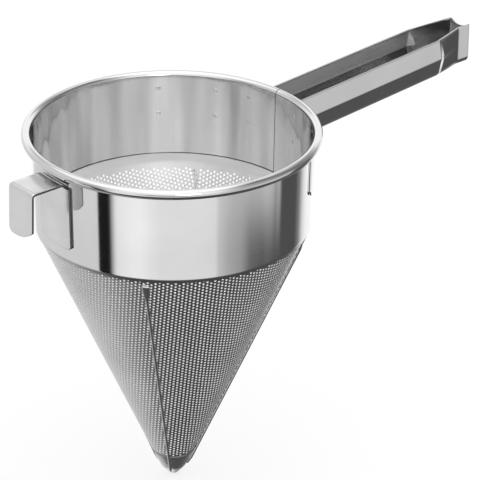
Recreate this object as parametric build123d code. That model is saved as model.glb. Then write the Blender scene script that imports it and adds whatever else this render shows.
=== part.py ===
from build123d import *
import os
from math import asin, atan2, cos, degrees, pi, radians, sin, tan

# A chinois: a perforated cone hung inside a sheet collar, with a wire-filled rolled rim, four support
# rods, a tip cap, an open channel handle and a pan hook. Millimetres, +Z up. The origin is on the cone's
# axis at the collar's lower edge, and the handle runs out along +X.
os.makedirs("parts", exist_ok=True)

# Clearances
seat_gap = 0.25  # between curved sheets that are spot welded, and round the rim wire
line_gap = 0.1  # between a rod or a weld and the sheet that it lies on
tool_over = 5  # how far a cutting tool runs past what it cuts
panel_count = 60  # flats that stand for the curve of the collar, the wire, the cone and the cap

# Collar and its rolled rim
rim_radius = 101.6  # overall, to the outside of the roll
roll_radius = 3.3
collar_sheet = 0.7
collar_height = 64.8  # lower edge to the middle of the roll
roll_sweep = 295  # degrees that the sheet turns through round the wire
roll_flat = 45  # degrees to each flat of the roll and the wire

# Perforated cone
cone_sheet = 0.7
cone_depth = 227.5  # lower edge of the collar to where the sides would meet
flange_height = 4.4  # upright edge inside the collar

# The cone's holes, a coarse share of some nine thousand that are 1.6 across at a pitch of 2.9
hole_radius = 2.4
hole_sides = 6
hole_pitch = 20
hole_margin = 11  # from the sheet's edges to the outer rows

# Tip cap, flush with the cone
cap_sheet = 0.9
cap_length = 23.3
cap_top_share = 0.833  # of the cone's depth
cap_bend_share = 0.644  # of the cap's length
nose_share = 0.871  # of the cap's length
nose_radius = 5.4

# Support rods
rod_count = 4
rod_radius = 1.1
first_rod_turn = 38  # degrees from the handle to the first rod
tab_width = 5.3
tab_sheet = 1.2
tab_top_depth = 4
tab_length = 8
neck_length = 5
rod_end_gap = 0.5  # from a rod's end to the cap's bend

# Handle: a channel, measured from the outside of the roll along its own slope
handle_rise = 3.07  # degrees above level
handle_length = 190
handle_sheet = 1.2
handle_top_drop = 3.4  # the drops are below the middle of the roll
handle_top_width = 31.4
handle_waist_drop = 17.6
handle_waist_width = 37.3
handle_floor_drop = 34.5
handle_floor_width = 29.2
waist_bend = 3
floor_bend = 6.5
fold_start = 151  # the tail narrows from here
tail_top_width = 16.6
tail_waist_width = 19
tail_floor_width = 15
tail_floor_bend = 4.5
tail_corner = 3.5
tail_steps = 3  # flats that turn the tail's corner
scoop_depth = 2
root_reach = 14  # how far in from the roll the channel starts, before it is cut to the collar

# Wings of the handle, bent back round the collar
wing_turn = 58.5  # degrees each side of the handle
wing_low = 28.5
wing_high = 60.5
wing_corner = 4

# Pan hook, opposite the handle
hook_turn = 176  # degrees from the handle
hook_sheet = 1.5
hook_width = 25
hook_length = 26.45  # plate's inside to the outside of the hanging leg, at its bend
hook_splay = 1.5
hook_top = 57.6
hook_leg_low = 23.5
hook_bend = 3
hook_corner = 6
plate_width = 32.6
plate_low = 10.8
plate_corner = 7
plate_shoulder = 12  # the plate narrows to the strip this far below the hook's top

# Spot welds, seen as small rounds inside the collar
weld_radius = 2.5
weld_sides = 8
weld_sheet = 0.4
handle_weld_turns = [14, 30, 55]
handle_weld_heights = [36.3, 56]
hook_weld_spread = 8
hook_weld_heights = [20, 40]

roll_centre = rim_radius - roll_radius
roll_inner = roll_radius - collar_sheet
wire_radius = roll_inner - seat_gap
collar_radius = roll_centre - roll_inner
collar_inner = collar_radius - collar_sheet
collar_flat = collar_inner * cos(pi / panel_count)
cone_radius = collar_inner - seat_gap
cone_slope = atan2(cone_radius, cone_depth)
cone_wall = cone_sheet / cos(cone_slope)
cap_top_depth = cap_top_share * cone_depth
cap_bend_depth = cap_top_depth + cap_bend_share * cap_length
nose_depth = cap_top_depth + nose_share * cap_length
tip_depth = cap_top_depth + cap_length
rod_end_depth = cap_bend_depth - rod_end_gap
wing_inner = collar_radius + seat_gap
hook_reach = wing_inner + hook_length


def turned(shape, angle):
    """The shape, turned about the cone's axis."""
    return Rot(0, 0, angle) * shape


def cone_at(depth):
    """Radius of the cone's outer face, this far below the collar's edge."""
    return cone_radius * (1 - depth / cone_depth)


def tube(inner, outer, low, high):
    """A plain tube about the axis, between two heights."""
    middle = Pos(0, 0, (low + high) / 2)
    return middle * (Cylinder(outer, high - low) - Cylinder(inner, high - low + tool_over))


def around(point, angle):
    """A point of radius and height, at this angle about the axis."""
    radius, height = point
    return Vector(radius * cos(radians(angle)), radius * sin(radians(angle)), height)


def panelled(outline):
    """A closed outline of radius and height, carried round the axis in flat panels."""
    step = 360 / panel_count
    faces = []
    for start, end in zip(outline, outline[1:] + outline[:1]):
        if start[0] + end[0] == 0:
            continue
        for turn in range(panel_count):
            near = turn * step
            far = near + step
            corners = [around(start, near), around(start, far), around(end, far), around(end, near)]
            if start[0] == 0:
                corners = corners[1:]
            if end[0] == 0:
                corners = corners[:3]
            faces.append(Face(Wire.make_polygon(corners)))
    return Solid(Shell(faces))


def rolled(radius, turns):
    """Corners about the middle of the wire, from the collar's wall over the top."""
    across = [roll_centre - radius * cos(radians(turn)) for turn in turns]
    up = [collar_height + radius * sin(radians(turn)) for turn in turns]
    return list(zip(across, up))


def make_collar():
    """The sheet strip: a plain wall that ends in the roll round the wire."""
    turns = [*range(0, roll_sweep, roll_flat), roll_sweep]
    over = rolled(roll_radius, turns)
    under = rolled(roll_inner, turns)
    return panelled([(collar_inner, 0), *over, *reversed(under), (collar_radius, 0)])


def make_rim_wire():
    """The wire that the roll is closed round."""
    return panelled(rolled(wire_radius, range(0, 360, roll_flat)))


def make_cone():
    """The cone sheet with its upright flange, pierced, and cut square where the cap meets it."""
    low = cone_at(cap_top_depth)
    flange_inner = cone_radius - cone_sheet
    bend_depth = (cone_wall - cone_sheet) / tan(cone_slope)
    sheet = panelled([
        (cone_radius, flange_height), (cone_radius, 0), (low, -cap_top_depth),
        (low - cone_wall, -cap_top_depth), (flange_inner, bend_depth), (flange_inner, flange_height)])
    return sheet - make_holes()


def make_holes():
    """Cutters for the cone's holes, in staggered rows at an even pitch."""
    row_pitch = hole_pitch * sin(radians(60)) * cos(cone_slope)
    row_count = int((cap_top_depth - 2 * hole_margin) / row_pitch) + 1
    holes = []
    for row in range(row_count):
        depth = hole_margin + row * row_pitch
        place = Plane(beside_cone(depth, 0), x_dir=(0, 1, 0), z_dir=(cos(cone_slope), 0, -sin(cone_slope)))
        hole = extrude(place * RegularPolygon(hole_radius, hole_sides), tool_over, both=True)
        count = round(2 * pi * cone_at(depth) / hole_pitch)
        start = row % 2 / 2
        holes += [turned(hole, 360 * (number + start) / count) for number in range(count)]
    return holes


def make_tip_cap():
    """The plain cap on the cone's cut end, with a blunt nose."""
    wall = cap_sheet / cos(cone_slope)
    top = cone_at(cap_top_depth)
    bend = cone_at(cap_bend_depth)
    rise = tip_depth - nose_depth
    ball = (nose_radius**2 + rise**2) / (2 * rise)
    half = asin(nose_radius / ball) / 2
    return panelled([
        (top, -cap_top_depth), (bend, -cap_bend_depth), (nose_radius, -nose_depth),
        (ball * sin(half), ball * (1 - cos(half)) - tip_depth), (0, -tip_depth),
        (0, cap_sheet - tip_depth), (nose_radius - cap_sheet, cap_sheet - nose_depth),
        (bend - wall, -cap_bend_depth), (top - wall, -cap_top_depth)])


def beside_cone(depth, stand_off):
    """A point this far off the cone's face, in the XZ plane."""
    return Vector(cone_at(depth) + stand_off * cos(cone_slope), 0, -depth - stand_off * sin(cone_slope))


def eight_sided(width, thickness, corner):
    """A rectangle with its corners cut off."""
    across = width / 2
    up = thickness / 2
    quarter = [(across, up - corner), (across - corner, up)]
    half = quarter + [(-x, y) for x, y in reversed(quarter)]
    return make_face(Polyline(*half, *[(-x, -y) for x, y in half], close=True))


def make_rod():
    """One support rod with its flattened upper end, lying down the cone in the XZ plane."""
    rod_off = line_gap + rod_radius
    tab_off = line_gap + tab_sheet / 2
    neck_depth = tab_top_depth + tab_length
    rod_top = beside_cone(neck_depth + neck_length, rod_off)
    rod_end = beside_cone(rod_end_depth, rod_off)
    tab_top = beside_cone(tab_top_depth, tab_off)
    tab_end = beside_cone(neck_depth, tab_off)
    along = (rod_end - rod_top).normalized()
    round_face = eight_sided(2 * rod_radius, 2 * rod_radius, rod_radius * (2 - 2**0.5))
    flat_face = eight_sided(tab_width, tab_sheet, tab_sheet / 3)
    rod_face = Plane(origin=rod_top, x_dir=(0, 1, 0), z_dir=along) * round_face
    tab_face = Plane(origin=tab_top, x_dir=(0, 1, 0), z_dir=along) * flat_face
    neck_face = Plane(origin=tab_end, x_dir=(0, 1, 0), z_dir=along) * flat_face
    rod = extrude(rod_face, (rod_end - rod_top).length)
    tab = extrude(tab_face, (tab_end - tab_top).length)
    return tab + loft([neck_face, rod_face], ruled=True) + rod


def across_handle(distance):
    """The plane across the handle, this far out from the roll along its slope."""
    rise = radians(handle_rise)
    base = (rim_radius + distance * cos(rise), 0, collar_height + distance * sin(rise))
    return Plane(origin=base, x_dir=(0, 1, 0), z_dir=(cos(rise), 0, sin(rise)))


def channel_section(distance, top, waist, floor, bend, inset, tuck):
    """The channel's closed outline at one place, or its open inside when inset is the sheet."""
    lean = (waist - top) / 2 / (handle_waist_drop - handle_top_drop)
    above = tool_over if inset else 0
    within = inset + tuck
    points = [
        (top / 2 - within - lean * above, above - handle_top_drop),
        (waist / 2 - within, -handle_waist_drop),
        (floor / 2 - within, within - handle_floor_drop)]
    mirrored = [(-x, y) for x, y in reversed(points)]
    face = make_face(Polyline(*points, *mirrored, close=True))
    face = fillet(face.vertices().group_by(Axis.Y)[1], waist_bend - inset)
    face = fillet(face.vertices().group_by(Axis.Y)[0], bend - inset)
    return across_handle(distance) * face


def make_channel(inset):
    """The whole channel as a solid, or the trough inside it when inset is the sheet."""
    main = (handle_top_width, handle_waist_width, handle_floor_width, floor_bend, inset, 0)
    tail = (tail_top_width, tail_waist_width, tail_floor_width, tail_floor_bend, inset)
    corner = tail_corner - inset
    sections = [
        channel_section(-root_reach - inset, *main),
        channel_section(fold_start, *main)]
    for step in range(tail_steps + 1):
        turn = radians(90 * step / tail_steps)
        distance = handle_length - tail_corner + corner * sin(turn)
        sections.append(channel_section(distance, *tail, corner * (1 - cos(turn))))
    return loft(sections, ruled=True)


def make_wings():
    """The curved band behind the channel, before the trough is opened through it."""
    outer = wing_inner + handle_sheet
    band = tube(wing_inner, outer, wing_low, wing_high)
    far = 2 * outer
    side = far * tan(radians(90 - wing_turn))
    sector = make_face(Polyline((0, 0), (side, far), (far, far), (far, -far), (side, -far), close=True))
    wings = band & extrude(Pos(0, 0, wing_low) * sector, wing_high - wing_low)
    corners = [e for e in wings.edges() if abs(e.length - handle_sheet) < line_gap]
    return fillet(corners, wing_corner)


def make_handle():
    """The channel and its wings, open along the top, with the scooped web at the tail."""
    trough = make_channel(handle_sheet)
    body = make_channel(0) + make_wings() - trough
    room = Pos(0, 0, collar_height / 2) * Cylinder(wing_inner, 2 * collar_height)
    chord = tail_top_width / 2 - handle_sheet
    scoop_radius = (chord**2 + scoop_depth**2) / (2 * scoop_depth)
    scoop_plane = across_handle(handle_length - tool_over)
    scoop_middle = scoop_radius - scoop_depth - handle_top_drop
    scoop = extrude(scoop_plane * Pos(0, scoop_middle) * Circle(scoop_radius), 2 * tool_over)
    return body - room - scoop


def make_hook():
    """The plate on the collar and the strip bent out and down from it, along -X."""
    outer = wing_inner + hook_sheet
    leg_foot = hook_reach + hook_splay
    shoulder = hook_top - plate_shoulder
    root = shoulder - hook_sheet
    edge = Polyline(
        (wing_inner, root), (wing_inner, hook_top), (hook_reach, hook_top), (leg_foot, hook_leg_low),
        (leg_foot - hook_sheet, hook_leg_low), (hook_reach - hook_sheet, hook_top - hook_sheet),
        (outer, hook_top - hook_sheet), (outer, root), close=True)
    profile = make_face(edge)
    upper = [v for v in profile.vertices() if abs(v.Y - hook_top) < line_gap]
    profile = fillet(upper, hook_bend)
    under = [v for v in profile.vertices() if abs(v.Y - hook_top + hook_sheet) < line_gap]
    profile = fillet(under, hook_bend - hook_sheet)
    strip = extrude(Plane.XZ * profile, hook_width / 2, both=True)
    leg = Pos(0, (hook_leg_low + hook_top) / 2) * Rectangle(hook_width, hook_top - hook_leg_low)
    leg = fillet(leg.vertices().group_by(Axis.Y)[0], hook_corner)
    plate = Pos(0, (plate_low + shoulder) / 2) * RectangleRounded(
        plate_width, shoulder - plate_low, plate_corner)
    plate = tube(wing_inner, outer, plate_low, shoulder) & extrude(Plane.YZ * plate, 2 * outer)
    return turned(plate + (strip & extrude(Plane.YZ * leg, 2 * leg_foot)), hook_turn)


def weld_spot(angle, height):
    """The round left by one spot weld on the inside of the collar."""
    place = Pos(collar_flat - line_gap - weld_sheet / 2, 0, height) * Rot(0, 90, 0)
    spot = extrude(RegularPolygon(weld_radius, weld_sides), weld_sheet / 2, both=True)
    return turned(place * spot, angle)


def make_handle_welds():
    """The spot welds that hold the wings."""
    turns = [side * turn for side in (-1, 1) for turn in handle_weld_turns]
    return Compound([weld_spot(turn, height) for turn in turns for height in handle_weld_heights])


def make_hook_welds():
    """The spot welds that hold the hook's plate."""
    spread = degrees(hook_weld_spread / collar_inner)
    turns = [hook_turn - spread, hook_turn + spread]
    return Compound([weld_spot(turn, height) for turn in turns for height in hook_weld_heights])


rod = make_rod()
parts = {
    "collar_band": make_collar(),
    "rim_wire": make_rim_wire(),
    "perforated_cone": make_cone(),
    "tip_cap": make_tip_cap(),
    "handle": make_handle(),
    "pan_hook": make_hook(),
    "handle_spot_welds": make_handle_welds(),
    "hook_spot_welds": make_hook_welds(),
}
for number in range(rod_count):
    parts[f"support_rod_{number + 1}"] = turned(rod, first_rod_turn + number * 360 / rod_count)
for name, shape in parts.items():
    export_step(shape, f"parts/{name}.step")
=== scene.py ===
import bpy
import bmesh
from math import asin, atan2, cos, degrees, hypot, pi, radians, sin, sqrt, tan
from mathutils import Matrix, Vector


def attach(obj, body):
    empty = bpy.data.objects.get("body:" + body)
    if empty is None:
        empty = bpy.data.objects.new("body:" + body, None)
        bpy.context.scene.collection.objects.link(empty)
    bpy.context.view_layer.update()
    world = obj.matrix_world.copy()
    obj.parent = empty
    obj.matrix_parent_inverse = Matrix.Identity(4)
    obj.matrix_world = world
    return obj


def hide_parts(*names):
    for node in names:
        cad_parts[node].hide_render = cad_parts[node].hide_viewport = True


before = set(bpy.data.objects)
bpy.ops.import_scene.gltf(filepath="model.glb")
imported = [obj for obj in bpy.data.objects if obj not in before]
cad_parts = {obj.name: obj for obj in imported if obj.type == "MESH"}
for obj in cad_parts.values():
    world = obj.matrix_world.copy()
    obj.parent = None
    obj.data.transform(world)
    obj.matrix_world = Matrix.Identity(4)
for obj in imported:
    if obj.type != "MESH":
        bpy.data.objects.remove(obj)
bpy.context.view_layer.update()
print("frame loaded")

# Lengths are millimetres and angles degrees in every dictionary. A finished mesh is scaled to metres.
# The collar's lower edge is at height 0, the cone hangs below it and the handle runs out along +X.
touch = 0.01  # places nearer than this are the same place
slack = 0.1  # how far a face may lie off the place where it is looked for


def newPiece(bm, name, materials, nodes=(), sharp=32):
    bmesh.ops.scale(bm, vec=(0.001, 0.001, 0.001), verts=bm.verts[:])
    mesh = bpy.data.meshes.new(name)
    bm.to_mesh(mesh)
    bm.free()
    mesh.shade_smooth()
    mesh.set_sharp_from_angle(angle=radians(sharp))
    for material in materials:
        mesh.materials.append(material)
    piece = bpy.data.objects.new(name, mesh)
    bpy.context.scene.collection.objects.link(piece)
    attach(piece, "root")
    if nodes:
        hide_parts(*nodes)
    print("made", name, "with", len(mesh.polygons), "faces")


def drawWire(bm, points):
    # a few points joined by edges, the start of a profile
    verts = [bm.verts.new(point) for point in points]
    for pair in zip(verts, verts[1:]):
        bm.edges.new(pair)


def nearestVert(bm, point):
    return min(bm.verts, key=lambda v: (v.co - Vector(point)).length)


def roundCorner(bm, point, offset, segments):
    bmesh.ops.bevel(
        bm, geom=[nearestVert(bm, point)], offset=offset, segments=segments, profile=0.5, affect="VERTICES",
        material=-1)


def spinRound(bm, steps):
    # turns a profile about the axis, and closes it where it meets itself or the axis
    bmesh.ops.spin(
        bm, geom=bm.verts[:] + bm.edges[:], cent=(0, 0, 0), axis=(0, 0, 1), angle=2 * pi, steps=steps,
        use_merge=True)
    bmesh.ops.remove_doubles(bm, verts=bm.verts[:], dist=0.001)
    bmesh.ops.dissolve_degenerate(bm, dist=0.0005, edges=bm.edges[:])
    bmesh.ops.recalc_face_normals(bm, faces=bm.faces[:])


def facesAway(face):
    middle = face.calc_center_median()
    return face.normal.x * middle.x + face.normal.y * middle.y > 0


def thicken(bm, sheet, testFace, away=True):
    # the skin keeps its place and the sheet's thickness goes behind it
    if facesAway(testFace) != away:
        bmesh.ops.reverse_faces(bm, faces=bm.faces[:])
    bmesh.ops.solidify(bm, geom=bm.faces[:], thickness=sheet)


def softenEdges(bm, width, segments=2, sharpest=60):
    rims = [e for e in bm.edges if len(e.link_faces) == 2 and e.calc_face_angle(0) > radians(sharpest)]
    bmesh.ops.bevel(
        bm, geom=rims, offset=width, segments=segments, profile=0.5, affect="EDGES", material=-1,
        clamp_overlap=True)


def growEdge(bm, edges, place):
    # extrudes an open edge, puts each new vertex where place says and returns the new open edge
    grown = bmesh.ops.extrude_edge_only(bm, edges=edges)["geom"]
    fresh = {v for v in grown if isinstance(v, bmesh.types.BMVert)}
    for vert in fresh:
        vert.co = place(vert)
    return [e for e in bm.edges if e.verts[0] in fresh and e.verts[1] in fresh]


def ringMatrix(radius, height):
    # where a circle stands upright on the axis' half plane, ready to be turned about the axis
    return Matrix.Translation((radius, 0, height)) @ Matrix.Rotation(pi / 2, 4, "X")


def turnAll(bm, angle):
    bmesh.ops.rotate(bm, cent=(0, 0, 0), matrix=Matrix.Rotation(radians(angle), 3, "Z"), verts=bm.verts[:])


# steel finishes
def addNoise(nodes, links, place, cells, detail, rough=0.5):
    # noise with so many cells per metre along each axis
    stretch = nodes.new("ShaderNodeMapping")
    stretch.inputs["Scale"].default_value = cells
    links.new(place, stretch.inputs["Vector"])
    noise = nodes.new("ShaderNodeTexNoise")
    noise.inputs["Scale"].default_value = 1.0
    noise.inputs["Detail"].default_value = detail
    noise.inputs["Roughness"].default_value = rough
    links.new(stretch.outputs["Vector"], noise.inputs["Vector"])
    return noise.outputs["Fac"]


def addBump(nodes, links, height, depth):
    # relief so many thousandths of a millimetre deep
    bump = nodes.new("ShaderNodeBump")
    bump.inputs["Strength"].default_value = 1.0
    bump.inputs["Distance"].default_value = depth / 1000000
    links.new(height, bump.inputs["Height"])
    return bump


def polishedSteel(name, look):
    # look: tone, rough and its shift, then the cells per metre and the depth of the fine grain and of the
    # broad waves, and cloud, the cells per metre of the slight stains
    # where given, the tone is darkened where the waves' relief is low, in place of the stains: painted shade
    # in the waves' hollows
    # metal, where given, lets part of the light scatter from the plain tone, as fine scouring does; with the
    # light tone of the cone's inner skin this makes painted light
    material = bpy.data.materials.new(name)
    material.use_nodes = True
    nodes, links = material.node_tree.nodes, material.node_tree.links
    shader = nodes["Principled BSDF"]
    shader.inputs["Metallic"].default_value = look.get("metal", 1.0)
    place = nodes.new("ShaderNodeTexCoord").outputs["Object"]
    grain = addNoise(nodes, links, place, look["grain"], 5.0, 0.6)
    cloud = addNoise(nodes, links, place, (look["cloud"], look["cloud"], look["cloud"]), 3.0)
    wave = addNoise(nodes, links, place, look["wave"], 1.0)
    tint = nodes.new("ShaderNodeValToRGB")
    # the first stop is the stains' tone, and where the waves drive the ramp it is painted shade in their
    # hollows
    stainAndShadeStop, clean = tint.color_ramp.elements
    stainAndShadeStop.position = 0.35
    stainAndShadeStop.color = (*[look.get("waveShade", 0.93) * channel for channel in look["tone"]], 1)
    clean.position = 0.62
    clean.color = (*look["tone"], 1)
    links.new(wave if "waveShade" in look else cloud, tint.inputs["Fac"])
    links.new(tint.outputs["Color"], shader.inputs["Base Color"])
    haze = nodes.new("ShaderNodeMapRange")
    haze.inputs["From Min"].default_value = 0.3
    haze.inputs["From Max"].default_value = 0.7
    haze.inputs["To Min"].default_value = look["rough"] - look["roughShift"]
    haze.inputs["To Max"].default_value = look["rough"] + look["roughShift"]
    links.new(grain, haze.inputs["Value"])
    links.new(haze.outputs["Result"], shader.inputs["Roughness"])
    dent = addBump(nodes, links, wave, look["waveDepth"])
    scratch = addBump(nodes, links, grain, look["grainDepth"])
    links.new(dent.outputs["Normal"], scratch.inputs["Normal"])
    links.new(scratch.outputs["Normal"], shader.inputs["Normal"])
    return material


finishes = {
    "collarSteel": {
        "tone": (0.80, 0.80, 0.80), "rough": 0.065, "roughShift": 0.02,
        "grain": (40, 40, 2600), "grainDepth": 0.6, "wave": (14, 14, 7), "waveDepth": 120, "cloud": 18},
    # the band's inside is darkened where its waves' relief is low: painted shade in their hollows
    "collarInside": {
        "tone": (0.84, 0.84, 0.84), "rough": 0.12, "roughShift": 0.04, "waveShade": 0.72,
        "grain": (300, 300, 60), "grainDepth": 3, "wave": (60, 60, 5), "waveDepth": 1200, "cloud": 18},
    "wireSteel": {
        "tone": (0.70, 0.70, 0.70), "rough": 0.25, "roughShift": 0.05,
        "grain": (300, 300, 900), "grainDepth": 3, "wave": (50, 50, 50), "waveDepth": 100, "cloud": 60},
    "coneSteel": {
        "tone": (0.76, 0.76, 0.76), "rough": 0.22, "roughShift": 0.05,
        "grain": (500, 500, 700), "grainDepth": 3, "wave": (30, 30, 12), "waveDepth": 300, "cloud": 25},
    # the cone's inner skin is a lighter, part diffuse copy of the cone steel: painted light on the inside of
    # the cone
    "coneInsidePaintedLight": {
        "tone": (0.95, 0.95, 0.95), "rough": 0.36, "roughShift": 0.05, "metal": 0.5,
        "grain": (500, 500, 700), "grainDepth": 3, "wave": (40, 40, 10), "waveDepth": 600, "cloud": 25},
    "capSteel": {
        "tone": (0.97, 0.97, 0.97), "rough": 0.24, "roughShift": 0.06,
        "grain": (500, 500, 900), "grainDepth": 3, "wave": (90, 90, 60), "waveDepth": 250, "cloud": 90},
    "rodSteel": {
        "tone": (0.86, 0.86, 0.86), "rough": 0.2, "roughShift": 0.05,
        "grain": (1400, 1400, 120), "grainDepth": 3, "wave": (120, 120, 30), "waveDepth": 80, "cloud": 60},
    "handleSteel": {
        "tone": (0.80, 0.80, 0.80), "rough": 0.09, "roughShift": 0.03,
        "grain": (30, 1500, 1500), "grainDepth": 1, "wave": (12, 30, 30), "waveDepth": 220, "cloud": 16},
    # the channel's inner skin is a darker copy of the handle steel: painted shade inside the channel
    "handleInsidePaintedShade": {
        "tone": (0.62, 0.62, 0.62), "rough": 0.2, "roughShift": 0.04,
        "grain": (30, 1500, 1500), "grainDepth": 1, "wave": (12, 30, 30), "waveDepth": 220, "cloud": 16},
    "hookSteel": {
        "tone": (0.80, 0.80, 0.80), "rough": 0.19, "roughShift": 0.04,
        "grain": (1200, 60, 1200), "grainDepth": 2, "wave": (60, 60, 40), "waveDepth": 300, "cloud": 40},
    # dark steel for the band's weld seam, a dark joint, and for cut edges, where it is painted shade: the
    # gap under the collar at the flange's top and the dark lines along the hook's sides
    "darkJointAndEdgeShade": {
        "tone": (0.17, 0.17, 0.17), "rough": 0.3, "roughShift": 0.08,
        "grain": (900, 900, 900), "grainDepth": 4, "wave": (200, 200, 200), "waveDepth": 40, "cloud": 200},
    "seamSteel": {
        "tone": (0.34, 0.33, 0.32), "rough": 0.5, "roughShift": 0.08,
        "grain": (900, 900, 900), "grainDepth": 20, "wave": (400, 400, 400), "waveDepth": 200, "cloud": 300},
    "weldSteel": {
        "tone": (0.78, 0.78, 0.78), "rough": 0.3, "roughShift": 0.08,
        "grain": (900, 900, 900), "grainDepth": 10, "wave": (300, 300, 300), "waveDepth": 100, "cloud": 300},
}
steels = {name: polishedSteel(name, look) for name, look in finishes.items()}
print("finishes made")


# collar: the sheet band that ends in a roll, and the wire inside the roll
collar = {"outer": 95.7, "sheet": 0.7, "height": 64.8, "rollCentre": 98.3, "sweep": 297, "wire": 2.35,
          "clear": 0.25, "edge": 0.15, "seam": -1.6, "seamHalf": 0.35, "seamDepth": 0.3,
          "seamReach": 6, "rows": 22, "rollSteps": 27, "roundSteps": 288, "wireSteps": 180, "wireSides": 18}


def nearSeam(place, reach):
    return place.x > 0 and abs(place.y - collar["seam"]) < reach


def cutSeam(bm):
    # the butt weld where the band's ends meet, as a fine groove on both faces
    for offset in (-collar["seamHalf"], 0, collar["seamHalf"]):
        near = [f for f in bm.faces if nearSeam(f.calc_center_median(), collar["seamReach"])]
        geom = near + list({e for f in near for e in f.edges}) + list({v for f in near for v in f.verts})
        bmesh.ops.bisect_plane(
            bm, geom=geom, plane_co=(0, collar["seam"] + offset, 0), plane_no=(0, 1, 0), dist=0.001)
    for vert in bm.verts:
        if nearSeam(vert.co, touch):
            vert.co -= vert.normal * collar["seamDepth"]


def makeCollar():
    bm = bmesh.new()
    drawWire(bm, [(collar["outer"], 0, 0), (collar["outer"], 0, collar["height"])])
    bmesh.ops.subdivide_edges(bm, edges=bm.edges[:], cuts=collar["rows"] - 1)
    top = nearestVert(bm, (collar["outer"], 0, collar["height"]))
    bmesh.ops.spin(
        bm, geom=[top], cent=(collar["rollCentre"], 0, collar["height"]), axis=(0, 1, 0),
        angle=radians(collar["sweep"]), steps=collar["rollSteps"])
    spinRound(bm, collar["roundSteps"])
    thicken(bm, collar["sheet"], min(bm.faces, key=lambda f: f.calc_center_median().z))
    softenEdges(bm, collar["edge"])
    bm.normal_update()
    cutSeam(bm)
    wallInside = collar["outer"] - collar["sheet"] + slack
    for face in bm.faces:
        middle = face.calc_center_median()
        if nearSeam(middle, collar["seamHalf"]):
            face.material_index = 2
        elif middle.z < collar["height"] and hypot(middle.x, middle.y) < wallInside:
            face.material_index = 1
    materials = [steels[name] for name in ("collarSteel", "collarInside", "darkJointAndEdgeShade")]
    newPiece(bm, "collarBand", materials, ["collar_band"])


def makeRimWire():
    bm = bmesh.new()
    bmesh.ops.create_circle(
        bm, cap_ends=False, segments=collar["wireSides"], radius=collar["wire"],
        matrix=ringMatrix(collar["rollCentre"], collar["height"]))
    spinRound(bm, collar["wireSteps"])
    newPiece(bm, "rimWire", [steels["wireSteel"]], ["rim_wire"])


makeCollar()
makeRimWire()

# cone: four quarters of pierced sheet that meet under the rods and turn up into a flange in the collar
# margin is the plain border below the flange, which widens by marginSwing away from marginTurn
cone = {"outer": 94.75, "apex": 227.5, "sheet": 0.7, "cut": 189.5, "flange": 4.4, "bend": 3.6, "margin": 2.7,
        "marginSwing": 3.3, "marginTurn": 229, "hole": 0.87, "holeSides": 12, "pitch": 3.0,
        "cellCollar": 0.3, "rodTurn": 38, "rowTurn": 238, "patchHeart": 190, "doublings": 6, "spare": 3,
        "capBorder": 2.2, "seamBorder": 0.3}
slant = hypot(cone["outer"], cone["apex"])
slopeSin = cone["outer"] / slant
slopeCos = cone["apex"] / slant


def coneAt(depth):
    return cone["outer"] * (1 - depth / cone["apex"])


def markInside(bm):
    # the inner skin takes the second material, painted lighter than the outer skin, and the flange's cut top
    # the third, painted dark as the shadow in the gap under the collar
    for face in bm.faces:
        if face.normal.z > 0.9 and face.calc_center_median().z > cone["flange"] - slack:
            face.material_index = 2
        elif not facesAway(face):
            face.material_index = 1


def repeatPatch(bm, step, doublings):
    # each pass copies the sheet beside itself, so it doubles
    for power in range(doublings):
        copied = bmesh.ops.duplicate(bm, geom=bm.verts[:] + bm.edges[:] + bm.faces[:])["geom"]
        moved = [v for v in copied if isinstance(v, bmesh.types.BMVert)]
        bmesh.ops.translate(bm, vec=step * 2 ** power, verts=moved)


def makeHolePatch():
    # rows of six-sided cells with a round hole's rim in each, the rows along X
    pitch = cone["pitch"]
    bm = bmesh.new()
    bmesh.ops.create_circle(bm, cap_ends=True, segments=cone["holeSides"] // 2, radius=pitch / sqrt(3))
    bmesh.ops.subdivide_edges(bm, edges=bm.edges[:], cuts=1)
    bmesh.ops.inset_region(
        bm, faces=bm.faces[:], thickness=cone["cellCollar"], use_boundary=True, use_even_offset=True)
    hole = min(bm.faces, key=lambda f: f.calc_center_median().length)
    for vert in hole.verts:
        vert.co = vert.co.normalized() * cone["hole"]
    repeatPatch(bm, Vector((pitch, 0, 0)), cone["doublings"])
    repeatPatch(bm, Vector((pitch / 2, pitch * sqrt(3) / 2, 0)), 1)
    repeatPatch(bm, Vector((0, pitch * sqrt(3), 0)), cone["doublings"])
    return bm


def layPatch(patch, middleTurn):
    # puts the patch's middle on the quarter's, in whole steps and at the angle that the rows have there
    # the whole cone is one sheet, so the rows keep their direction from quarter to quarter
    bm = patch.copy()
    across, upward = cone["pitch"], cone["pitch"] * sqrt(3)
    lean = radians((middleTurn - cone["rowTurn"]) * slopeSin % 60 - 30)
    heart = Matrix.Rotation(-lean, 3, "Z") @ Vector((0, cone["patchHeart"], 0))
    middleCell = (2 ** cone["doublings"] - 0.5) / 2
    bmesh.ops.translate(bm, verts=bm.verts[:], vec=(
        across * round(heart.x / across - middleCell), upward * round(heart.y / upward - middleCell), 0))
    bmesh.ops.rotate(bm, cent=(0, 0, 0), matrix=Matrix.Rotation(lean, 3, "Z"), verts=bm.verts[:])
    return bm


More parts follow.
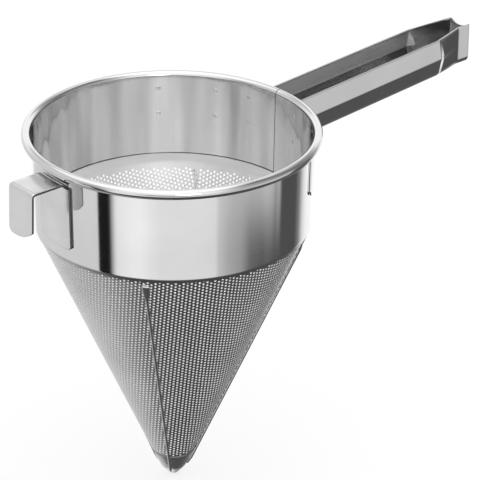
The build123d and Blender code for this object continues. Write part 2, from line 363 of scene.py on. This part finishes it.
def pierceQuarter(patch, middleTurn):
    # a flat quarter of the cone, its point at the origin and its middle along +Y
    bm = layPatch(patch, middleTurn)
    quarter = pi / 4 * slopeSin
    low = (cone["apex"] - cone["cut"]) / slopeCos
    spare, holes = [], []
    for face in bm.faces:
        middle = face.calc_center_median()
        reach = middle.length
        angle = atan2(middle.x, middle.y)
        aside = reach * sin(quarter - abs(angle))
        if not low - cone["spare"] < reach < slant + 3 * cone["spare"] or aside < -cone["spare"]:
            spare.append(face)
        elif len(face.verts) == cone["holeSides"] and aside > cone["seamBorder"]:
            turn = radians(middleTurn - cone["marginTurn"]) + angle / slopeSin
            margin = cone["margin"] - cone["marginSwing"] * cos(turn)
            if low + cone["capBorder"] < reach < slant - margin - cone["hole"]:
                holes.append(face)
    bmesh.ops.delete(bm, geom=spare + holes, context="FACES")
    bmesh.ops.remove_doubles(bm, verts=bm.verts[:], dist=touch)
    for side in (-1, 1):
        bmesh.ops.bisect_plane(
            bm, geom=bm.verts[:] + bm.edges[:] + bm.faces[:], plane_co=(0, 0, 0),
            plane_no=(side * cos(quarter), -sin(quarter), 0), clear_outer=True)
    return bm


def wrapOnCone(bm):
    # up the slope, round the bend and up the flange
    lean = atan2(cone["outer"], cone["apex"])
    bendRadius = cone["bend"] / tan(lean / 2)
    bendStart = slant - cone["bend"]
    for vert in bm.verts:
        reach = hypot(vert.co.x, vert.co.y)
        turn = atan2(vert.co.x, vert.co.y) / slopeSin
        past = min(max(0, reach - bendStart), bendRadius * lean)
        above = max(0, reach - bendStart - bendRadius * lean)
        angle = lean - past / bendRadius
        reach = min(reach, bendStart)
        radius = reach * slopeSin + bendRadius * (cos(angle) - slopeCos)
        height = reach * slopeCos - cone["apex"] + bendRadius * (slopeSin - sin(angle)) + above
        vert.co = (radius * cos(turn), radius * sin(turn), height)
    for height, side in ((cone["flange"], 1), (-cone["cut"], -1)):
        bmesh.ops.bisect_plane(
            bm, geom=bm.verts[:] + bm.edges[:] + bm.faces[:], plane_co=(0, 0, height), plane_no=(0, 0, side),
            clear_outer=True)
    bmesh.ops.recalc_face_normals(bm, faces=bm.faces[:])
    thicken(bm, cone["sheet"], bm.faces[0])


def makeConeSheet():
    patch = makeHolePatch()
    for number in range(4):
        middleTurn = cone["rodTurn"] + 45 + 90 * number
        bm = pierceQuarter(patch, middleTurn)
        wrapOnCone(bm)
        turnAll(bm, middleTurn)
        markInside(bm)
        nodes = ["perforated_cone"] if number == 0 else []
        materials = [steels[name] for name in ("coneSteel", "coneInsidePaintedLight", "darkJointAndEdgeShade")]
        newPiece(bm, f"coneSheet{number + 1}", materials, nodes)
    patch.free()


makeConeSheet()

# tip cap: a blunt nose on the cone's cut end
cap = {"sheet": 0.9, "bend": 204.5, "nose": 209.8, "noseRadius": 5.4, "flatRadius": 2.97, "tip": 212.8,
       "dome": 0.15, "rounds": (1.0, 1.3, 1.3), "edge": 0.15, "seam": 0.4, "seamProud": 0.05,
       "seamSides": 10, "roundSteps": 96}


def makeTipCap():
    bm = bmesh.new()
    profile = [
        (coneAt(cone["cut"]), 0, -cone["cut"]), (coneAt(cap["bend"]), 0, -cap["bend"]),
        (cap["noseRadius"], 0, -cap["nose"]), (cap["flatRadius"], 0, -cap["tip"] + cap["dome"]),
        (0, 0, -cap["tip"])]
    drawWire(bm, profile)
    for point, offset in zip(profile[1:4], cap["rounds"]):
        roundCorner(bm, point, offset, 5)
    spinRound(bm, cap["roundSteps"])
    thicken(bm, cap["sheet"], max(bm.faces, key=lambda f: f.calc_center_median().z))
    softenEdges(bm, cap["edge"])
    newPiece(bm, "tipCap", [steels["capSteel"]], ["tip_cap"])


def makeCapSeam():
    # the thin run of solder where the cap meets the pierced sheet
    bm = bmesh.new()
    bmesh.ops.create_circle(
        bm, cap_ends=False, segments=cap["seamSides"], radius=cap["seam"],
        matrix=ringMatrix(coneAt(cone["cut"]) + cap["seamProud"], -cone["cut"]))
    spinRound(bm, cap["roundSteps"])
    newPiece(bm, "capSeam", [steels["seamSteel"]])


makeTipCap()
makeCapSeam()

# support rods: round rods down the cone with flattened upper ends
# tab: depth below its top, half width and half thickness
# taper: height over the rod's end, and how much narrower and thinner it is there
# over: radius, height, tilt and the same two again, where the front rod runs out over the cap
rods = {
    "radius": 1.1, "gap": 0.08, "sides": 20, "flatten": 1.25, "tabTop": 4.0, "middle": (60, 110, 160),
    "end": 203.8, "front": 2, "overStart": 201.5,
    "tab": ((0, 1.75, 0.42), (0.25, 2.3, 0.57), (0.8, 2.65, 0.62), (7.4, 2.65, 0.62), (9.0, 2.2, 0.74),
            (11.0, 1.5, 0.96), (13.2, 1.1, 1.1)),
    "taper": ((6, 0, 0), (2.5, 0.15, 0.3), (0.6, 0.3, 0.6), (0, 0.65, 0.85)),
    "over": ((10.9, -204.7, 30.2, 0.05, 0.05), (10.35, -205.5, 33.5, 0.2, 0.25),
             (10.1, -205.85, 34.8, 0.5, 0.55))}


def rodStation(depth, halfWidth, halfThick):
    # a place on the cone's face with the size of the rod there
    place = Vector((coneAt(depth), 0, -depth))
    place += Vector((slopeCos, 0, -slopeSin)) * (rods["gap"] + halfThick)
    return place, Vector((-slopeSin, 0, -slopeCos)), halfWidth, halfThick


def rodStations(isFront):
    radius = rods["radius"]
    stations = [rodStation(rods["tabTop"] + below, *half) for below, *half in rods["tab"]]
    stations += [rodStation(depth, radius, radius) for depth in rods["middle"]]
    if isFront:
        stations.append(rodStation(rods["overStart"], radius, radius))
        for out, height, tilt, narrower, thinner in rods["over"]:
            along = Vector((-sin(radians(tilt)), 0, -cos(radians(tilt))))
            stations.append((Vector((out, 0, height)), along, radius - narrower, radius - thinner))
    else:
        for above, narrower, thinner in rods["taper"]:
            stations.append(rodStation(rods["end"] - above, radius - narrower, radius - thinner))
    return stations


def sweepSections(bm, stations):
    # bridges a ring at each station; a wide ring is flattened on its two faces
    rings = []
    for place, along, halfWidth, halfThick in stations:
        across = Vector((0, 1, 0))
        up = along.cross(across).normalized()
        stand = Matrix((across, up, along)).transposed().to_4x4()
        stand.translation = place
        flat = rods["flatten"] if halfWidth > 1.3 * halfThick else 1.0
        ring = bmesh.ops.create_circle(bm, cap_ends=False, segments=rods["sides"], radius=1.0)["verts"]
        for vert in ring:
            vert.co = (vert.co.x * halfWidth, max(-1, min(1, vert.co.y * flat)) * halfThick, 0)
        bmesh.ops.transform(bm, matrix=stand, verts=ring)
        rings.append(list({e for v in ring for e in v.link_edges}))
    for near, far in zip(rings, rings[1:]):
        bmesh.ops.bridge_loops(bm, edges=near + far)
    bmesh.ops.holes_fill(bm, edges=[e for e in bm.edges if e.is_boundary])
    bmesh.ops.recalc_face_normals(bm, faces=bm.faces[:])


def makeRods():
    for number in range(4):
        bm = bmesh.new()
        sweepSections(bm, rodStations(number == rods["front"]))
        turnAll(bm, cone["rodTurn"] + 90 * number)
        newPiece(bm, f"supportRod{number + 1}", [steels["rodSteel"]],
                 [f"support_rod_{number + 1}"], 45)


makeRods()

# handle: a folded channel, the closed tail and the wings that turn out round the collar
# the drops are heights below the rim and the halves are half widths, at the sides' top, waist and floor
# foldLeast: the share of the fold's run that is left at the top edge and at the floor
# nearShare, farShare: the share of its half width that each side keeps at the tail's end
handle = {"rim": 101.6, "rise": 3.07, "length": 191, "sheet": 1.2, "topDrop": 3.4, "topHalf": 15.7,
          "waistDrop": 17.6, "waistHalf": 18.65, "floorDrop": 34.5, "floorHalf": 14.6, "waistRound": 1.0,
          "floorRound": 5.0, "fold": 151.5, "foldRun": 5.6, "foldLeast": 0.3, "foldSlope": 0.06,
          "bandRun": 11.5, "nearShare": 0.553, "farShare": 0.44, "flare": 1.4, "corner": 1.2, "scoop": 3.2,
          "edge": 0.22, "root": -1.0, "wingFlare": 5.5, "wingTurn": 58.5, "wingLow": 28.5, "wingHigh": 60.5,
          "wingCorner": 4,
          # where the rings of vertices stand: beyond the fold, from the band's start, and round the collar
          "foldRings": [step / 2 for step in range(13)] + [7, 9, 12, 16], "bandRings": [-5, -0.7, 0.7, 4],
          "cornerRings": 6, "bendRings": 8, "wingRings": [18] + list(range(21, 50, 4)) + [52.5],
          "wingCornerRings": 5}
handleSeat = collar["outer"] + collar["clear"]
wingOuter = handleSeat + handle["sheet"]


def tailInward(distance, level, band):
    # how far a side of the tail has turned in, from 0 at the fold to 1 at its straight last band or its end
    # the fold itself is a steep facet, widest at mid height; level is 0 at the top edge and 1 at the floor
    h = handle
    past = distance - h["fold"]
    run = h["length"] - band - h["fold"]
    steep = h["foldRun"] * (h["foldLeast"] + (1 - h["foldLeast"]) * sin(pi * level))
    if past <= 0:
        return 0
    if past < steep:
        return h["foldSlope"] * past
    folded = h["foldSlope"] * steep
    return min(1, folded + (1 - folded) * (past - steep) / (run - steep))


def channelPlace(distance, y, z):
    # where a point of the root's outline comes to lie, this far along the handle
    h = handle
    near = y < 0
    depth = h["floorDrop"] - h["topDrop"]
    level = min(1, (-z - h["topDrop"]) / depth)
    inward = tailInward(distance, level, h["bandRun"] if near else 0)
    share = 1 - (1 - (h["nearShare"] if near else h["farShare"])) * inward
    # the sides' waist fades towards the tail, where they stand upright on the floor's rounded edges
    upright = h["waistHalf"]
    if z <= -h["floorDrop"] + h["floorRound"] + 0.5:
        below = (-z - h["waistDrop"]) / (h["floorDrop"] - h["waistDrop"])
        upright *= abs(y) / (h["waistHalf"] + (h["floorHalf"] - h["waistHalf"]) * below)
    reach = share * (abs(y) * (1 - inward) + upright * inward)
    flare = h["flare"] * max(0, distance - (h["length"] - h["bandRun"])) / h["bandRun"] if near else 0
    past = max(0, distance - (h["length"] - h["corner"]))
    tuck = h["corner"] - sqrt(max(0, h["corner"] ** 2 - past ** 2))
    half = h["waistHalf"] * share
    reach *= (half + flare - tuck) / half
    height = -h["topDrop"] + (z + h["topDrop"]) * (depth - tuck) / depth
    return Vector((distance, reach if y > 0 else -reach, height))


def rememberStarts(verts, starts):
    for vert in verts:
        for layer, value in zip(starts, vert.co):
            vert[layer] = value


def startOf(vert, starts):
    return Vector([vert[layer] for layer in starts])


def makeChannel(bm, starts):
    # the root's outline, extruded ring by ring to the tail
    h = handle
    side = [(h[level + "Half"], -h[level + "Drop"]) for level in ("top", "waist", "floor")]
    outline = side + [(-y, z) for y, z in side[::-1]]
    drawWire(bm, [(h["root"], y, z) for y, z in outline])
    waist, floor = (h["waistRound"], 4), (h["floorRound"], 9)
    for (y, z), (offset, segments) in zip(outline[1:5], (waist, floor, floor, waist)):
        roundCorner(bm, (h["root"], y, z), offset, segments)
    walls = [e for e in bm.edges if e.calc_length() > 5]
    bmesh.ops.subdivide_edges(bm, edges=walls, cuts=5)
    rememberStarts(bm.verts, starts)
    bandStart = h["length"] - h["bandRun"]
    cornerStart = h["length"] - h["corner"]
    quarterStep = pi / 2 / h["cornerRings"]
    stops = [h["fold"] / 2, h["fold"] - 0.9]
    stops += [h["fold"] + step for step in h["foldRings"]]
    stops += [bandStart + step for step in h["bandRings"]]
    stops += [cornerStart + h["corner"] * sin(quarterStep * step) for step in range(h["cornerRings"] + 1)]
    front = bm.edges[:]
    for stop in stops:
        front = growEdge(bm, front, lambda v: channelPlace(stop, *startOf(v, starts).yz))


def closeTail(bm):
    # the web across the tail's end, with its scooped top edge
    h = handle
    ends = [v for v in bm.verts if v.co.x > h["length"] - touch and v.co.z > -h["topDrop"] - touch]
    middle = sum(v.co.y for v in ends) / 2
    webHalf = abs(ends[0].co.y - middle)
    bmesh.ops.subdivide_edges(bm, edges=[bm.edges.new(ends)], cuts=11)
    rim = [
        e for e in bm.edges
        if len(e.link_faces) < 2 and min(v.co.x for v in e.verts) > h["length"] - touch]
    for vert in {v for e in rim for v in e.verts if not e.link_faces}:
        vert.co.z -= h["scoop"] * (1 - ((vert.co.y - middle) / webHalf) ** 2)
    bmesh.ops.edgeloop_fill(bm, edges=rim)


def wingPlace(start, turn, span):
    # where a point of the root's outline stands on the collar, this far round it
    # span is the lowest and the highest of the root's outline, which spread to the wing's full height
    h = handle
    past = max(0, wingOuter * radians(turn - h["wingTurn"]) + h["wingCorner"])
    inset = h["wingCorner"] - sqrt(max(0, h["wingCorner"] ** 2 - past ** 2))
    low, high = h["wingLow"] + inset, h["wingHigh"] - inset
    share = (start.z - span[0]) / (span[1] - span[0])
    side = 1 if start.y > 0 else -1
    angle = radians(turn)
    return Vector((wingOuter * cos(angle), side * wingOuter * sin(angle), low + share * (high - low)))


def wingBend(start, share, span):
    # the curve that carries a point of the root's outline out onto the collar
    reach = abs(start.y)
    turned = degrees(asin((reach + handle["wingFlare"]) / wingOuter))
    knee = Vector((sqrt(wingOuter ** 2 - reach ** 2), start.y, start.z))
    last = wingPlace(start, turned, span)
    return start * (1 - share) ** 2 + knee * 2 * share * (1 - share) + last * share ** 2


def makeWings(bm, starts, rootEdges):
    # the floor runs up to the collar, and the sides bend out and follow it
    h = handle
    rootVerts = {v for e in rootEdges for v in e.verts}
    heights = [v.co.z for v in rootVerts]
    span = (min(heights), max(heights))
    flat = [e for e in rootEdges if all(v.co.z < span[0] + 0.05 for v in e.verts)]
    growEdge(bm, flat, lambda v: Vector((sqrt(handleSeat ** 2 - v.co.y ** 2), v.co.y, v.co.z)))
    rememberStarts(rootVerts, starts)
    # the last rings stand in the wing's rounded corners
    cornerTurn = degrees(h["wingCorner"] / wingOuter)
    quarterStep = pi / 2 / h["wingCornerRings"]
    turns = h["wingRings"] + [
        h["wingTurn"] - cornerTurn * (1 - sin(quarterStep * step))
        for step in range(h["wingCornerRings"] + 1)]
    for side in (-1, 1):
        edges = [e for e in rootEdges if e not in flat and e.verts[0].co.y * side > 0]
        for step in range(1, h["bendRings"] + 1):
            edges = growEdge(bm, edges, lambda v: wingBend(startOf(v, starts), step / h["bendRings"], span))
        for turn in turns:
            edges = growEdge(bm, edges, lambda v: wingPlace(startOf(v, starts), turn, span))


def makeHandle():
    bm = bmesh.new()
    h = handle
    # each vertex remembers which point of the root's outline its row starts from
    starts = [bm.verts.layers.float.new(axis) for axis in ("startX", "startY", "startZ")]
    makeChannel(bm, starts)
    closeTail(bm)
    # the handle rises a little away from the rim
    tilt = Matrix.Translation((h["rim"], 0, collar["height"])) @ Matrix.Rotation(radians(-h["rise"]), 4, "Y")
    bmesh.ops.transform(bm, matrix=tilt, verts=bm.verts[:])
    untilt = tilt.inverted()
    rootEdges = [
        e for e in bm.edges
        if e.is_boundary and all(abs((untilt @ v.co).x - h["root"]) < touch for v in e.verts)]
    makeWings(bm, starts, rootEdges)
    bmesh.ops.recalc_face_normals(bm, faces=bm.faces[:])
    floorFace = max((f for f in bm.faces if f.calc_center_median().x > h["fold"]),
                    key=lambda f: abs(f.normal.z) * f.calc_area())
    if floorFace.normal.z > 0:
        bmesh.ops.reverse_faces(bm, faces=bm.faces[:])
    outside = len(bm.faces)
    bmesh.ops.solidify(bm, geom=bm.faces[:], thickness=h["sheet"])
    bm.faces.ensure_lookup_table()
    # beyond the rim the inner skin and the cut edges take the darker copy: painted shade inside the channel
    for face in bm.faces[outside:]:
        if face.calc_center_median().x > h["rim"]:
            face.material_index = 1
    softenEdges(bm, h["edge"])
    materials = [steels["handleSteel"], steels["handleInsidePaintedShade"]]
    newPiece(bm, "channelHandle", materials, ["handle"], 28)


makeHandle()

# pan hook: a plate on the collar and a strip bent out and down from it
# endNear, endFar: the radii of the end's wide and small corner, and endFlat where the wide one meets the end
hook = {"turn": 176, "inner": collar["outer"] + collar["clear"], "sheet": 1.5, "half": 12.5,
        "plateHalf": 16.3, "low": 10.8, "top": 57.6, "reach": 122.4, "splay": 1.5, "foot": 23.5, "bend": 3.0,
        "askew": 2.7, "askewRun": 8, "plateCorner": 2.0, "shoulder": 55.2, "shoulderCorner": 1.2,
        "endFar": 4.5, "endNear": 24.1, "endFlat": 8.0, "endRun": 6, "edge": 0.15, "rows": 200,
        "columns": 14}
# the lengths of the plate up to its bend, of a bend and of the strip's level top
hookWall = hook["top"] - hook["bend"] - hook["low"]
hookArc = pi / 2 * hook["bend"]
hookLevel = hook["reach"] - hook["inner"] - 2 * hook["bend"]


def hookPath(along):
    # radius and height of the strip's upper skin, this far along it from the plate's lower edge
    k = hook
    if along < hookWall:
        return k["inner"], k["low"] + along
    along -= hookWall
    if along < hookArc:
        angle = along / k["bend"]
        return k["inner"] + k["bend"] * (1 - cos(angle)), k["top"] - k["bend"] * (1 - sin(angle))
    along -= hookArc
    if along < hookLevel:
        return k["inner"] + k["bend"] + along, k["top"]
    along -= hookLevel
    if along < hookArc:
        angle = along / k["bend"]
        return k["reach"] - k["bend"] * (1 - sin(angle)), k["top"] - k["bend"] * (1 - cos(angle))
    along -= hookArc
    drop = k["top"] - k["bend"] - k["foot"]
    return k["reach"] + k["splay"] * along / drop, k["top"] - k["bend"] - along


def hookSides(along, length):
    # how far the blank reaches to either side there
    k = hook
    if along < k["plateCorner"]:
        corner = k["plateCorner"]
        half = k["plateHalf"] - corner + sqrt(corner ** 2 - (corner - along) ** 2)
        return half, half
    past = along - (k["shoulder"] - k["low"] - k["shoulderCorner"])
    if past < 0:
        return k["plateHalf"], k["plateHalf"]
    if past < k["shoulderCorner"]:
        half = k["plateHalf"] - k["shoulderCorner"] + sqrt(k["shoulderCorner"] ** 2 - past ** 2)
        return max(k["half"], half), max(k["half"], half)
    # the end is cut in one wide sweep on one side and a small corner on the other
    left = max(0, length - along)
    near = k["endFlat"] - k["half"] + sqrt(k["endNear"] ** 2 - max(0, k["endNear"] - left) ** 2)
    far = k["half"] - k["endFar"] + sqrt(k["endFar"] ** 2 - max(0, k["endFar"] - left) ** 2)
    return min(k["half"], near), min(k["half"], far)


def hookPlace(along, length, side):
    # side runs from -1 to 1 across the blank
    k = hook
    near, far = hookSides(along, length)
    across = (near - far) / 2 + side * (near + far) / 2
    radius, height = hookPath(along)
    # the plate follows the collar, and its curve runs out in the bend
    flatness = min(1, max(0, (along - hookWall + 0.5) / (hookArc + 0.5)))
    curved = sqrt(radius ** 2 - across ** 2)
    place = Vector((curved + (radius - curved) * flatness ** 2 * (3 - 2 * flatness), across, height))
    # beyond the plate the strip is bent a little askew
    skew = radians(k["askew"]) * min(1, max(0, (along - hookWall) / k["askewRun"]))
    outward = place.x - k["inner"]
    place.x += across * -sin(skew) + outward * (cos(skew) - 1)
    place.y += outward * sin(skew) + across * (cos(skew) - 1)
    return place


def makeHook():
    k = hook
    length = hookWall + 2 * hookArc + hookLevel + k["top"] - k["bend"] - k["foot"]
    bm = bmesh.new()
    bmesh.ops.create_grid(bm, x_segments=k["rows"], y_segments=k["columns"], size=1)
    for vert in bm.verts:
        along = (vert.co.x + 1) / 2 * length
        left = length - along
        if left < k["endRun"]:
            # the rows close up towards the rounded end
            along = length - k["endRun"] * (1 - cos(pi / 2 * left / k["endRun"]))
        vert.co = hookPlace(along, length, vert.co.y)
    bmesh.ops.remove_doubles(bm, verts=bm.verts[:], dist=0.002)
    bmesh.ops.recalc_face_normals(bm, faces=bm.faces[:])
    top = max(bm.faces, key=lambda f: f.calc_center_median().z)
    if top.normal.z < 0:
        bmesh.ops.reverse_faces(bm, faces=bm.faces[:])
    # the skins come first, then the cut edges
    skin = len(bm.faces)
    bmesh.ops.solidify(bm, geom=bm.faces[:], thickness=k["sheet"])
    bm.faces.ensure_lookup_table()
    # the cut edges are painted dark, as shade along the strip's sides
    for face in bm.faces[2 * skin:]:
        face.material_index = 1
    softenEdges(bm, k["edge"])
    turnAll(bm, k["turn"])
    newPiece(bm, "panHook", [steels["hookSteel"], steels["darkJointAndEdgeShade"]], ["pan_hook"], 28)


makeHook()

# weld marks: the shallow rounds that spot welds leave inside the collar
# rings: how far each ring of a mark lies inside the last and how much it rises
welds = {"wall": 94.98, "radius": 1.6, "sides": 24, "sheet": 0.05,
         "rings": ((0.3, 0.18), (0.3, 0.12), (0.25, -0.06), (0.35, -0.24)), "handleTurns": (14, 30, 55),
         "handleHeights": (36.3, 56), "hookTurns": (171.2, 180.8), "hookHeights": (20, 40)}


def weldMark(bm):
    made = bmesh.ops.create_circle(bm, cap_ends=True, segments=welds["sides"], radius=welds["radius"])
    face = made["verts"][0].link_faces[0]
    for inset, rise in welds["rings"]:
        bmesh.ops.inset_region(
            bm, faces=[face], thickness=inset, depth=rise, use_boundary=True, use_even_offset=True)


def makeWelds(name, turns, heights, node):
    bm = bmesh.new()
    for turn in turns:
        for height in heights:
            before = set(bm.verts)
            weldMark(bm)
            fresh = [v for v in bm.verts if v not in before]
            upright = Matrix.Translation((welds["wall"], 0, height)) @ Matrix.Rotation(-pi / 2, 4, "Y")
            bmesh.ops.transform(bm, matrix=upright, verts=fresh)
            for vert in fresh:
                # the mark follows the collar's curve
                scale = vert.co.x / hypot(vert.co.x, vert.co.y)
                vert.co.x *= scale
                vert.co.y *= scale
            bmesh.ops.rotate(bm, cent=(0, 0, 0), matrix=Matrix.Rotation(radians(turn), 3, "Z"), verts=fresh)
    bmesh.ops.recalc_face_normals(bm, faces=bm.faces[:])
    thicken(bm, welds["sheet"], bm.faces[0], away=False)
    newPiece(bm, name, [steels["weldSteel"]], [node])


handleTurns = [side * turn for side in (-1, 1) for turn in welds["handleTurns"]]
makeWelds("handleWeldMarks", handleTurns, welds["handleHeights"], "handle_spot_welds")
makeWelds("hookWeldMarks", welds["hookTurns"], welds["hookHeights"], "hook_spot_welds")

# studio: a pale floor, a soft lamp and a world whose reflections are broad light and dark panels
# whiteShare: how much of the floor the camera sees as plain white
studio = {"floor": -213.0, "floorHalf": 6000, "whiteShare": 0.7, "lampPower": 14, "lampSize": 3000,
          "lampPlace": (300, -300, 2400), "viewTurn": 43.5}
# greys round the object by angle, counted from the camera's right
# the rings follow each other from straight down to straight up, and sideTones is what two of them share
floorTones = [
    (0, 0.08), (35, 0.12), (61, 0.2), (80, 0.4), (100, 0.8), (122, 0.8), (142, 0.55), (172, 0.42),
    (190, 0.3), (205, 0.17), (218, 0.1), (240, 0.07), (330, 0.07)]
sideTones = [
    (31.5, 0.09), (38, 0.25), (46, 0.85), (54, 1.08), (118, 1.08), (123, 0.74), (150, 0.74), (155, 0.77),
    (209.5, 0.77), (210.5, 0.0125), (220.5, 0.0125), (222, 0.3), (226, 0.93), (230, 1.0), (240, 1.07),
    (247, 1.07), (255, 0.97), (263, 0.9)]
lowTones = sideTones + [
    (0, 0.11), (2.5, 0.1), (5, 0.09), (307.5, 0.87), (309.5, 0.68), (318, 0.5), (330, 0.38), (338, 0.16),
    (350, 0.1), (356, 0.12)]
midTones = sideTones + [
    (0, 0.6), (4, 0.4), (8, 0.55), (11.5, 0.09), (307.5, 0.88), (309.5, 0.72), (322, 0.6), (347, 0.6),
    (354, 0.66)]
levelTones = [
    (0, 0.66), (6, 0.62), (12, 0.2), (30, 0.12), (42, 0.6), (52, 1.0), (118, 0.9), (150, 0.72), (200, 0.72),
    (207, 0.2), (216, 0.25), (232, 0.9), (245, 0.8), (256, 0.3), (285, 0.3), (296, 0.8), (320, 0.6),
    (345, 0.66)]
highTones = [
    (0, 0.3), (20, 0.2), (45, 0.4), (62, 1.1), (118, 1.1), (150, 0.8), (190, 0.7), (213, 0.5), (235, 1.0),
    (274, 1.1), (279, 3.2), (289, 3.2), (294, 1.1), (305, 1.0), (327, 0.5), (345, 0.4)]
upperTones = [
    (0, 0.3), (20, 0.2), (45, 0.28), (75, 0.6), (105, 0.66), (150, 0.7), (190, 0.7), (213, 0.5), (235, 1.0),
    (270, 1.1), (305, 1.0), (327, 0.5), (345, 0.4)]
ceilingTones = [(0, 0.2), (35, 0.25), (70, 1.1), (180, 1.2), (270, 1.3), (320, 0.9), (345, 0.3)]
zenithTones = [(0, 1.5), (180, 1.5)]
# where each ring takes over from the one below, as the sine of the height angle
ringBlends = [
    (-0.60, -0.50, lowTones), (-0.475, -0.43, midTones), (-0.32, -0.18, levelTones), (0.02, 0.20, highTones),
    (0.43, 0.5, upperTones), (0.6, 0.75, ceilingTones), (0.85, 0.95, zenithTones)]


def toneRing(nodes, links, tones, angle):
    # a ring of greys round the object; the angle comes as a share of a turn, and a ramp holds up to 1
    ramp = nodes.new("ShaderNodeValToRGB")
    ring = sorted(tones) + [(360, sorted(tones)[0][1])]
    peak = max(tone for turn, tone in ring)
    stops = ramp.color_ramp.elements
    while len(stops) < len(ring):
        stops.new(0.5)
    for stop, (turn, tone) in zip(stops, ring):
        stop.position = turn / 360
    for stop, (turn, tone) in zip(stops, ring):
        stop.color = (tone / peak, tone / peak, tone / peak, 1)
    links.new(angle, ramp.inputs["Fac"])
    lift = nodes.new("ShaderNodeVectorMath")
    lift.operation = "SCALE"
    lift.inputs["Scale"].default_value = peak
    links.new(ramp.outputs["Color"], lift.inputs[0])
    return lift.outputs["Vector"]


def mathNode(nodes, links, operation, first, second=None):
    node = nodes.new("ShaderNodeMath")
    node.operation = operation
    for socket, value in zip(node.inputs, (first, second)):
        if isinstance(value, (int, float)):
            socket.default_value = value
        elif value is not None:
            links.new(value, socket)
    return node.outputs["Value"]


def makeWorld():
    world = bpy.data.worlds.new("studioWorld")
    bpy.context.scene.world = world
    world.use_nodes = True
    nodes, links = world.node_tree.nodes, world.node_tree.links
    background = nodes["Background"]
    place = nodes.new("ShaderNodeTexCoord")
    turned = nodes.new("ShaderNodeMapping")
    turned.inputs["Rotation"].default_value = (0, 0, radians(studio["viewTurn"]))
    links.new(place.outputs["Generated"], turned.inputs["Vector"])
    axes = nodes.new("ShaderNodeSeparateXYZ")
    links.new(turned.outputs["Vector"], axes.inputs["Vector"])
    angle = mathNode(nodes, links, "ARCTAN2", axes.outputs["Y"], axes.outputs["X"])
    share = mathNode(nodes, links, "FRACT", mathNode(nodes, links, "DIVIDE", angle, 2 * pi))
    tone = toneRing(nodes, links, floorTones, share)
    for low, high, tones in ringBlends:
        blend = nodes.new("ShaderNodeMapRange")
        blend.interpolation_type = "SMOOTHSTEP"
        blend.inputs["From Min"].default_value = low
        blend.inputs["From Max"].default_value = high
        links.new(axes.outputs["Z"], blend.inputs["Value"])
        mix = nodes.new("ShaderNodeMix")
        mix.data_type = "VECTOR"
        links.new(blend.outputs["Result"], mix.inputs["Factor"])
        # a vector mix takes its two vectors at inputs 4 and 5
        links.new(tone, mix.inputs[4])
        links.new(toneRing(nodes, links, tones, share), mix.inputs[5])
        tone = mix.outputs[1]
    # only reflections see the rings, and plain white lights the object
    path = nodes.new("ShaderNodeLightPath")
    shine = nodes.new("ShaderNodeMix")
    shine.data_type = "VECTOR"
    shine.inputs[4].default_value = (1, 1, 1)
    links.new(path.outputs["Is Glossy Ray"], shine.inputs["Factor"])
    links.new(tone, shine.inputs[5])
    links.new(shine.outputs[1], background.inputs["Color"])


def makeFloor():
    bm = bmesh.new()
    bmesh.ops.create_grid(bm, x_segments=8, y_segments=8, size=studio["floorHalf"] / 1000)
    mesh = bpy.data.meshes.new("studioFloor")
    bm.to_mesh(mesh)
    bm.free()
    mesh.transform(Matrix.Translation((0, 0, studio["floor"] / 1000)))
    floor = bpy.data.objects.new("studioFloor", mesh)
    bpy.context.scene.collection.objects.link(floor)
    floor.visible_glossy = False
    material = bpy.data.materials.new("paleFloor")
    material.use_nodes = True
    shader = material.node_tree.nodes["Principled BSDF"]
    shader.inputs["Base Color"].default_value = (0.97, 0.97, 0.97, 1)
    shader.inputs["Roughness"].default_value = 0.9
    shader.inputs["Specular IOR Level"].default_value = 0.0
    # the camera sees part of the floor as plain white, so its shadow stays faint
    nodes, links = material.node_tree.nodes, material.node_tree.links
    white = nodes.new("ShaderNodeEmission")
    white.inputs["Strength"].default_value = 1.0
    path = nodes.new("ShaderNodeLightPath")
    seen = mathNode(nodes, links, "MULTIPLY", path.outputs["Is Camera Ray"], studio["whiteShare"])
    blend = nodes.new("ShaderNodeMixShader")
    links.new(seen, blend.inputs["Fac"])
    links.new(shader.outputs["BSDF"], blend.inputs[1])
    links.new(white.outputs["Emission"], blend.inputs[2])
    links.new(blend.outputs["Shader"], nodes["Material Output"].inputs["Surface"])
    mesh.materials.append(material)


def makeLamp():
    light = bpy.data.lights.new("softLamp", "AREA")
    light.shape = "DISK"
    light.size = studio["lampSize"] / 1000
    light.energy = studio["lampPower"]
    lamp = bpy.data.objects.new("softLamp", light)
    lamp.visible_glossy = False
    lamp.matrix_world = Matrix.Translation(Vector(studio["lampPlace"]) / 1000)
    bpy.context.scene.collection.objects.link(lamp)


# the camera aims at a point, swung round and tipped down to the photograph's view
view = {"aim": (33.9, -32.2, -17.6), "swing": -43.5, "tip": 27.62, "roll": 0.98, "distance": 1250,
        "lens": 135, "sensor": 36, "nearest": 50}


def makeCamera():
    data = bpy.data.cameras.new("photoCamera")
    data.lens = view["lens"]
    data.sensor_width = view["sensor"]
    data.clip_start = view["nearest"] / 1000
    camera = bpy.data.objects.new("photoCamera", data)
    aim = Matrix.Translation(Vector(view["aim"]) / 1000) @ Matrix.Rotation(radians(view["swing"]), 4, "Z")
    tip = Matrix.Rotation(radians(90 - view["tip"]), 4, "X") @ Matrix.Rotation(radians(view["roll"]), 4, "Z")
    camera.matrix_world = aim @ tip @ Matrix.Translation((0, 0, view["distance"] / 1000))
    bpy.context.scene.collection.objects.link(camera)
    bpy.context.scene.camera = camera


makeWorld()
makeFloor()
makeLamp()
makeCamera()
bpy.context.scene.view_settings.view_transform = "Standard"
print("studio made")
